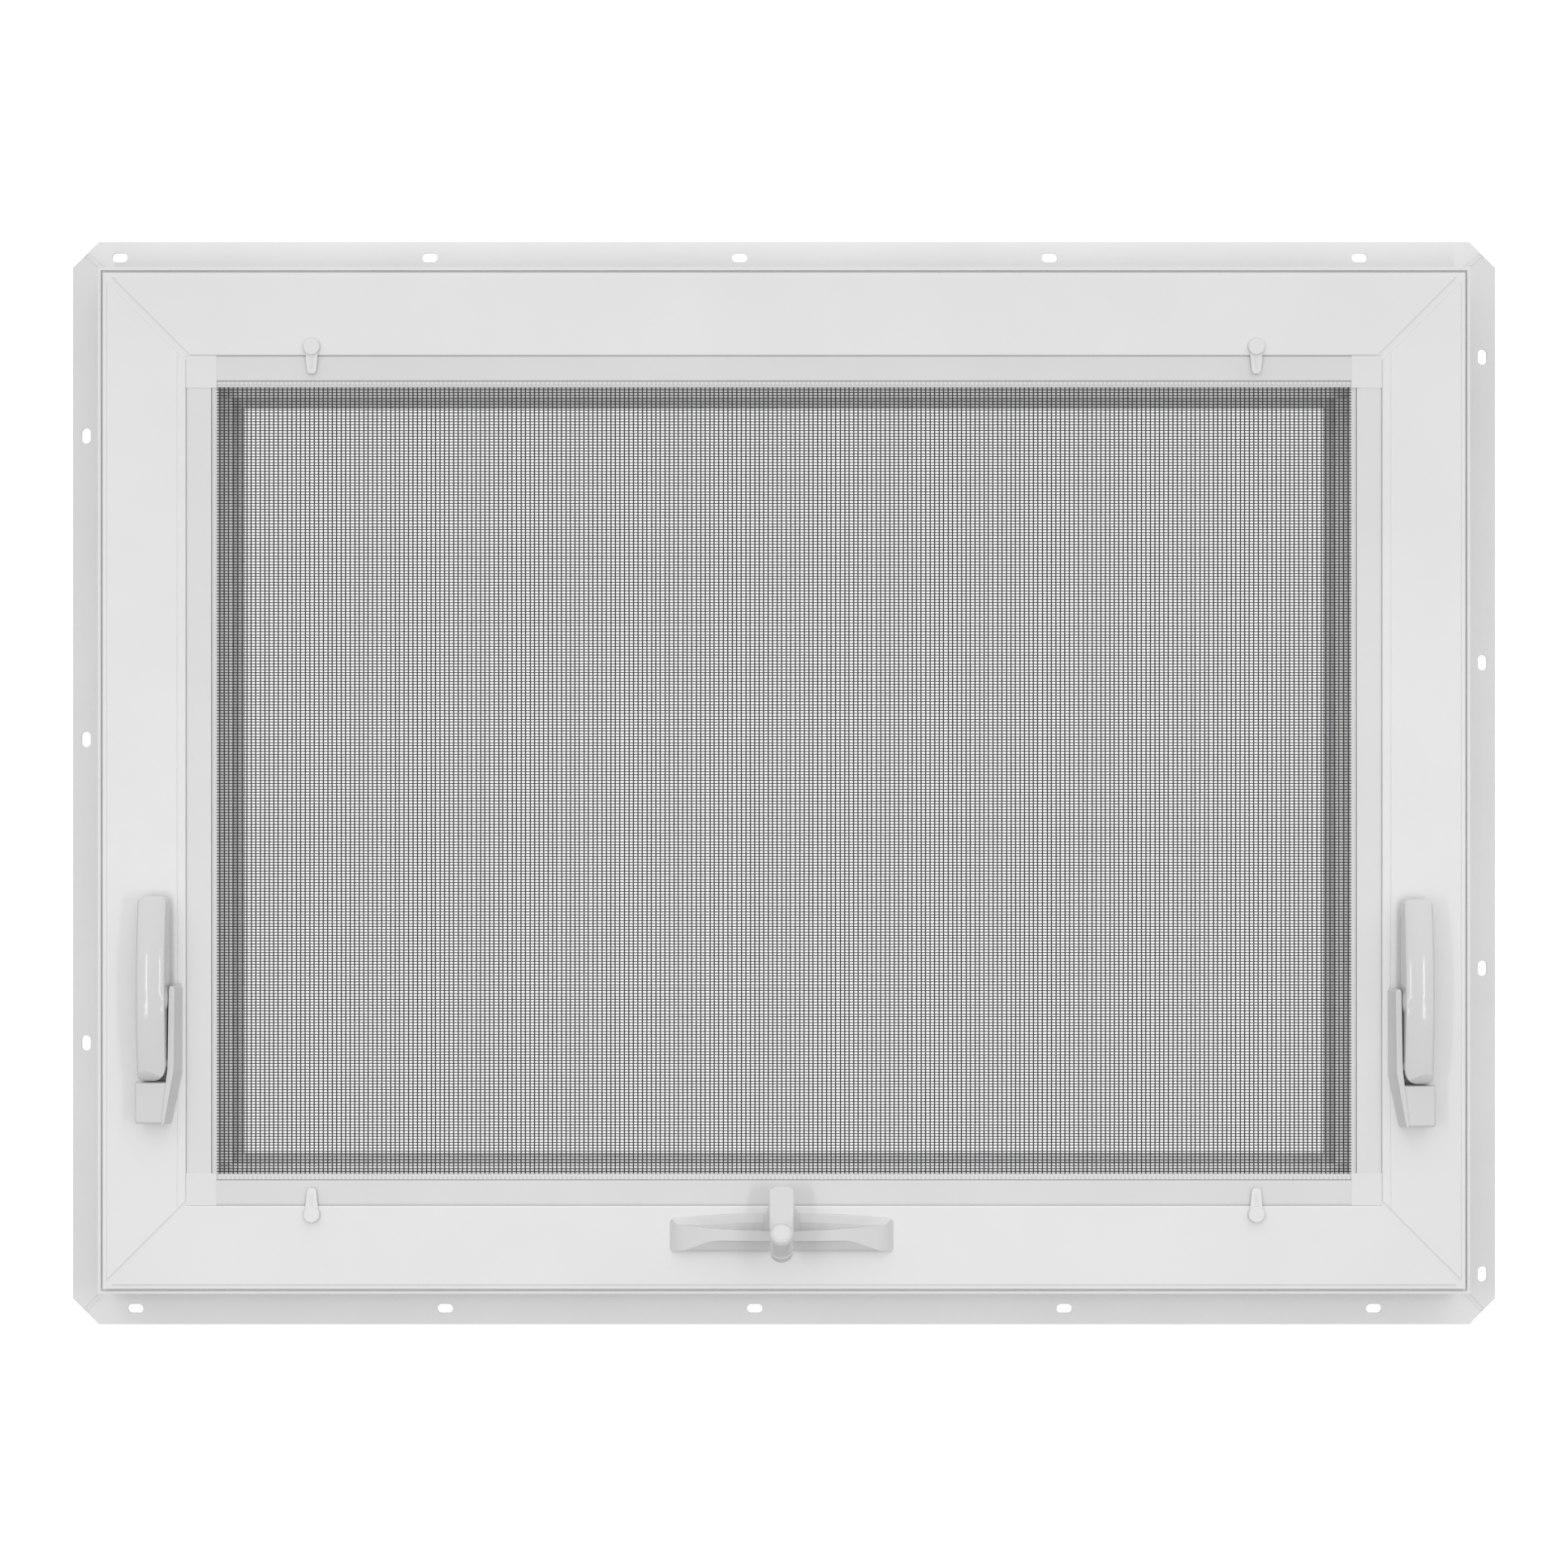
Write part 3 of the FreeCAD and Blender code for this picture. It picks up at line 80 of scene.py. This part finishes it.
def ramp(nt, fac, a, b, lo=0.35, hi=0.65):
    r = nt.nodes.new("ShaderNodeValToRGB")
    r.color_ramp.elements[0].position = lo
    r.color_ramp.elements[1].position = hi
    r.color_ramp.elements[0].color = (a[0], a[1], a[2], 1)
    r.color_ramp.elements[1].color = (b[0], b[1], b[2], 1)
    nt.links.new(fac, r.inputs["Fac"])
    return r.outputs["Color"]


def span(nt, fac, lo, hi, a=0.3, b=0.7):
    r = nt.nodes.new("ShaderNodeMapRange")
    r.inputs["From Min"].default_value = a
    r.inputs["From Max"].default_value = b
    r.inputs["To Min"].default_value = lo
    r.inputs["To Max"].default_value = hi
    nt.links.new(fac, r.inputs["Value"])
    return r.outputs["Result"]


def bump(nt, bsdf, height, strength, distance, chain=None):
    b = nt.nodes.new("ShaderNodeBump")
    b.inputs["Strength"].default_value = strength
    b.inputs["Distance"].default_value = distance
    nt.links.new(height, b.inputs["Height"])
    if chain is not None:
        nt.links.new(chain, b.inputs["Normal"])
    nt.links.new(b.outputs["Normal"], bsdf.inputs["Normal"])
    return b.outputs["Normal"]


def white_plastic(name, value, rough, streak=None, grain=900.0, spread=0.010, spec=0.5, skin=0.10):
    """White vinyl or moulded plastic: faint mottling, a fine skin and, on
    extruded pieces, faint lines along the length."""
    m, nt, bsdf = new_material(name)
    vec = coords(nt)
    big = noise(nt, vec, 14.0, 2.0)
    lo, hi = value - spread, value + spread
    col = ramp(nt, big, (lo, lo, lo), (hi, hi, hi))
    nt.links.new(col, bsdf.inputs["Base Color"])
    mid = noise(nt, vec, 160.0, 3.0)
    nt.links.new(span(nt, mid, rough - 0.03, rough + 0.04), bsdf.inputs["Roughness"])
    bsdf.inputs["Specular IOR Level"].default_value = spec
    fine = noise(nt, vec, grain, 2.0, 0.5)
    out = bump(nt, bsdf, fine, skin, 0.00001)
    if streak is not None:
        lines = noise(nt, coords(nt, streak), 1.0, 2.0)
        bump(nt, bsdf, lines, 0.15, 0.00003, out)
    return m


VINYL_X = white_plastic("white_vinyl_level", 0.785, 0.40, (3.0, 700.0, 700.0), spec=0.4)
VINYL_Z = white_plastic("white_vinyl_upright", 0.785, 0.40, (700.0, 700.0, 3.0), spec=0.4)
# The fins are the frame's vinyl; the level fins get a lighter value than the upright fins and the frame: painted
# light standing in for how light falls on them.
FIN_LIT_X = white_plastic("white_vinyl_fin_level_painted_light", 0.82, 0.45, (3.0, 500.0, 500.0), spec=0.4)
FIN_Z = white_plastic("white_vinyl_fin_upright", 0.79, 0.45, (500.0, 500.0, 3.0), spec=0.4)
# The bars share one paint; the level bars get a darker value than the upright ones: painted shade standing in for
# how light falls on them.
BAR_SHADED_X = white_plastic("painted_bar_level_painted_shade", 0.705, 0.45, (4.0, 900.0, 900.0), 1500.0, spec=0.4)
BAR_Z = white_plastic("painted_bar_upright", 0.725, 0.45, (900.0, 900.0, 4.0), 1500.0, spec=0.4)
KEY = white_plastic("corner_key_plastic", 0.76, 0.48, None, 1200.0, spec=0.4)
CLIP = white_plastic("clip_plastic", 0.76, 0.34, None, 1400.0)
ENAMEL = white_plastic("white_enamel", 0.665, 0.09, None, 1300.0, 0.006, 0.16, 0.04)
ARM = white_plastic("white_enamel_arm", 0.66, 0.18, None, 1300.0, 0.006, 0.3, 0.04)
COVER = white_plastic("cover_plastic", 0.68, 0.18, None, 1300.0, 0.006, 0.4, 0.04)
KNOB = white_plastic("knob_plastic", 0.70, 0.16, None, 1300.0, 0.006, 0.3, 0.04)


def glass():
    """Thin clear pane: hardly any colour face-on; a grey base colour let through more at a slant is painted
    reflection standing in for the gloss of glass.
    """
    m, nt, bsdf = new_material("clear_float_glass")
    vec = coords(nt)
    n = noise(nt, vec, 3.0, 1.0)
    # grey base colour: painted reflection, shown more at a slant by the alpha below
    nt.links.new(ramp(nt, n, (0.50, 0.52, 0.515), (0.54, 0.56, 0.555)), bsdf.inputs["Base Color"])
    bsdf.inputs["Roughness"].default_value = 0.02
    bsdf.inputs["IOR"].default_value = 1.5
    bsdf.inputs["Specular IOR Level"].default_value = 0.03
    lw = nt.nodes.new("ShaderNodeLayerWeight")
    lw.inputs["Blend"].default_value = 0.25
    nt.links.new(span(nt, lw.outputs["Fresnel"], 0.05, 0.75, 0.0, 1.0), bsdf.inputs["Alpha"])
    return m


def spacer():
    m, nt, bsdf = new_material("grey_spacer")
    vec = coords(nt)
    n = noise(nt, vec, 220.0, 3.0)
    nt.links.new(ramp(nt, n, (0.82, 0.825, 0.83), (0.87, 0.875, 0.88)), bsdf.inputs["Base Color"])
    nt.links.new(span(nt, n, 0.4, 0.55), bsdf.inputs["Roughness"])
    bump(nt, bsdf, noise(nt, vec, 1500.0, 2.0), 0.2, 0.00005)
    return m


def rubber(name, lo, hi, rough=0.7):
    m, nt, bsdf = new_material(name)
    vec = coords(nt)
    n = noise(nt, vec, 500.0, 3.0)
    nt.links.new(ramp(nt, n, (lo, lo, lo), (hi, hi, hi)), bsdf.inputs["Base Color"])
    bsdf.inputs["Roughness"].default_value = rough
    bump(nt, bsdf, n, 0.3, 0.0001)
    return m


def ribbed(name, axis):
    """Spline strip: light cord with fine dark crossings along its length, painted shade in the grooves between its
    bumped ribs.
    """
    m, nt, bsdf = new_material(name)
    s = (1, 1, 1)
    vec = coords(nt, s)
    w = nt.nodes.new("ShaderNodeTexWave")
    w.wave_type = "BANDS"
    w.bands_direction = axis
    w.wave_profile = "SIN"
    w.inputs["Scale"].default_value = 2 * math.pi / (20 * 0.0026) / 1.0
    w.inputs["Distortion"].default_value = 0.6
    w.inputs["Detail"].default_value = 1.0
    nt.links.new(vec, w.inputs["Vector"])
    # the dark bands follow the grooves of the rib bump: painted shade
    nt.links.new(ramp(nt, w.outputs["Fac"], (0.62, 0.62, 0.62), (0.74, 0.74, 0.74), 0.25, 0.75), bsdf.inputs["Base Color"])
    bsdf.inputs["Roughness"].default_value = 0.6
    bump(nt, bsdf, w.outputs["Fac"], 0.5, 0.0002)
    return m


GLASS = glass()
SPACER = spacer()
# The beads are the frame's vinyl, given a lighter value: painted light that lifts them out of the shade deep
# inside the frame.
BEAD_LIT_X = white_plastic("white_bead_level_painted_light", 0.88, 0.40, (3.0, 700.0, 700.0), spec=0.4)
BEAD_LIT_Z = white_plastic("white_bead_upright_painted_light", 0.88, 0.40, (700.0, 700.0, 3.0), spec=0.4)
SEAL = rubber("black_seal", 0.015, 0.03)
SPLINE_X = ribbed("spline_level", "X")
YARN_DARK = rubber("black_yarn", 0.010, 0.022, 0.5)

LOOK = {
    "frame_sill": VINYL_X, "frame_head": VINYL_X, "frame_jamb_left": VINYL_Z, "frame_jamb_right": VINYL_Z,
    "nail_fin_head": FIN_LIT_X, "nail_fin_sill": FIN_LIT_X, "nail_fin_left": FIN_Z, "nail_fin_right": FIN_Z,
    "sash_bottom_rail": VINYL_X, "sash_top_rail": VINYL_X, "sash_stile_left": VINYL_Z, "sash_stile_right": VINYL_Z,
    "glazing_bead_bottom": BEAD_LIT_X, "glazing_bead_top": BEAD_LIT_X, "glazing_bead_left": BEAD_LIT_Z,
    "glazing_bead_right": BEAD_LIT_Z,
    "glass_inner_pane": GLASS, "glass_outer_pane": GLASS, "glass_spacer": SPACER, "weatherstrip": SEAL,
    "screen_bar_bottom": BAR_SHADED_X, "screen_bar_top": BAR_SHADED_X, "screen_bar_left": BAR_Z, "screen_bar_right": BAR_Z,
    "screen_corner_keys": KEY, "screen_spline": SPLINE_X, "screen_mesh": YARN_DARK,
    "screen_clip_top_left": CLIP, "screen_clip_top_right": CLIP, "screen_clip_bottom_left": CLIP,
    "screen_clip_bottom_right": CLIP,
    "lock_left_base": ENAMEL, "lock_left_lever": ENAMEL, "lock_right_base": ENAMEL, "lock_right_lever": ENAMEL,
    "operator_cover": COVER, "crank_arm": ARM, "crank_knob": KNOB,
}
for name, obj in NODES.items():
    obj.data.materials.clear()
    obj.data.materials.append(LOOK[name])

soft = NODES["screen_corner_keys"].modifiers.new("soft_edges", "BEVEL")
soft.width = 0.0005
soft.segments = 3
soft.limit_method = "ANGLE"


# ------------------------------------------------------------------ insect mesh
def strands(bm, count, pitch, along, length, width, thick, y, wave, seed):
    """Flat yarns laid side by side: along is 'x' or 'z'."""
    rnd = random.Random(seed)
    seg = 12
    for k in range(count):
        c = (k - (count - 1) / 2.0) * pitch
        ph, am = rnd.uniform(0, 6.28), wave * rnd.uniform(0.4, 1.0)
        c += rnd.uniform(-1, 1) * wave * 0.5
        prev = None
        for i in range(seg + 1):
            t = i / seg
            p = (t - 0.5) * length
            o = c + am * math.sin(ph + 5.1 * t) * math.sin(math.pi * t)
            ring = []
            for dx, dy in ((-width / 2, 0), (0, -thick / 2), (width / 2, 0), (0, thick / 2)):
                if along == "z":
                    co = (o + dx, y + dy, CENTRE_Z + p)
                else:
                    co = (p, y + dy, CENTRE_Z + o + dx)
                ring.append(bm.verts.new(co))
            if prev:
                for j in range(4):
                    bm.faces.new((prev[j], prev[(j + 1) % 4], ring[(j + 1) % 4], ring[j]))
            else:
                bm.faces.new(ring)
            prev = ring
        bm.faces.new(list(reversed(prev)))


# the yarns end on the bars' inner lips, just short of the spline
MESH_W, MESH_H = 2 * 0.3333, 2 * 0.2309
MESH_Y = FRONT_Y + 0.0013
bm = bmesh.new()
strands(bm, 252, 0.00264, "z", MESH_H, 0.00073, 0.00016, MESH_Y, 0.00018, 7)
strands(bm, 269, 0.001713, "x", MESH_W, 0.00055, 0.00016, MESH_Y - 0.00012, 0.0001, 11)
bmesh.ops.recalc_face_normals(bm, faces=bm.faces)
me = bpy.data.meshes.new("screen_mesh_woven")
bm.to_mesh(me)
bm.free()
woven = bpy.data.objects.new("screen_mesh_woven", me)
bpy.context.scene.collection.objects.link(woven)
me.materials.append(YARN_DARK)
# hair-thin yarns: what little shade they cast on the sash behind is left out
woven.visible_shadow = False
woven.visible_diffuse = False
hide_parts("screen_mesh")
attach(woven, "window")

# ------------------------------------------------------------------ floor, light, camera
bm = bmesh.new()
bmesh.ops.create_grid(bm, x_segments=10, y_segments=8, size=1.0)
me = bpy.data.meshes.new("floor")
bm.to_mesh(me)
bm.free()
floor = bpy.data.objects.new("floor", me)
floor.scale = (3.0, 1.8, 1.0)
floor.location = (0, -1.2, -0.34)
bpy.context.scene.collection.objects.link(floor)
m, nt, bsdf = new_material("pale_floor")
n = noise(nt, coords(nt), 2.0, 2.0)
nt.links.new(ramp(nt, n, (0.50, 0.50, 0.50), (0.53, 0.53, 0.53)), bsdf.inputs["Base Color"])
bsdf.inputs["Roughness"].default_value = 0.9
me.materials.append(m)

# soft studio: bright from above in front, dimmer from below and behind, with a
# white background beyond the window
world = bpy.data.worlds.new("studio")
bpy.context.scene.world = world
world.use_nodes = True
wt = world.node_tree
bg = wt.nodes["Background"]
tc = wt.nodes.new("ShaderNodeTexCoord")
sep = wt.nodes.new("ShaderNodeSeparateXYZ")
wt.links.new(tc.outputs["Generated"], sep.inputs["Vector"])


def world_range(source, a, b, lo, hi):
    r = wt.nodes.new("ShaderNodeMapRange")
    r.inputs["From Min"].default_value = a
    r.inputs["From Max"].default_value = b
    r.inputs["To Min"].default_value = lo
    r.inputs["To Max"].default_value = hi
    wt.links.new(source, r.inputs["Value"])
    return r.outputs["Result"]


def world_math(kind, a, b):
    n = wt.nodes.new("ShaderNodeMath")
    n.operation = kind
    for k, v in enumerate((a, b)):
        if isinstance(v, (int, float)):
            n.inputs[k].default_value = v
        elif v is not None:
            wt.links.new(v, n.inputs[k])
    return n.outputs[0]


up = world_range(sep.outputs["Z"], -0.4, 1.0, 0.18, 1.41)
front = world_range(sep.outputs["Y"], 0.1, -0.6, 0.74, 1.0)
centre = world_range(sep.outputs["Y"], -0.65, -0.98, 0.0, 0.52)
side = world_range(world_math("ABSOLUTE", sep.outputs["X"], None), 0.35, 0.95, 1.0, 0.72)
ambient = world_math("MULTIPLY", world_math("ADD", world_math("MULTIPLY", up, front), centre), side)
white = world_range(sep.outputs["Y"], 0.86, 0.92, 0.0, 1.0)
rest = world_math("SUBTRACT", 1.0, white)
strength = world_math("ADD", world_math("MULTIPLY", ambient, rest), world_math("MULTIPLY", white, 1.08))
wt.links.new(strength, bg.inputs["Strength"])
bg.inputs["Color"].default_value = (1, 1, 1, 1)


def area_light(name, loc, target, size, power):
    d = bpy.data.lights.new(name, "AREA")
    d.shape = "RECTANGLE"
    d.size, d.size_y = size
    d.energy = power
    o = bpy.data.objects.new(name, d)
    o.location = loc
    o.rotation_euler = (Vector(target) - Vector(loc)).to_track_quat("-Z", "Y").to_euler()
    bpy.context.scene.collection.objects.link(o)
    return o


# two upright strip lights in front, left and right of the camera's view and a
# little below the middle of the window
area_light("strip_left", (-0.434, -1.33, 0.171), (-0.434, 0, 0.171), (0.09, 0.39), 2.2)
area_light("strip_right", (0.434, -1.33, 0.171), (0.434, 0, 0.171), (0.09, 0.39), 2.2)

cam_data = bpy.data.cameras.new("camera")
cam_data.lens = 78.24
cam_data.sensor_width = 36.0
cam_data.sensor_fit = "HORIZONTAL"
cam_data.clip_end = 100
cam = bpy.data.objects.new("camera", cam_data)
cam.location = (0.0, FRONT_Y - 2.0, CENTRE_Z - 0.002)
cam.rotation_euler = (math.radians(90), 0, 0)
bpy.context.scene.collection.objects.link(cam)
bpy.context.scene.camera = cam
bpy.context.scene.view_settings.view_transform = "Standard"
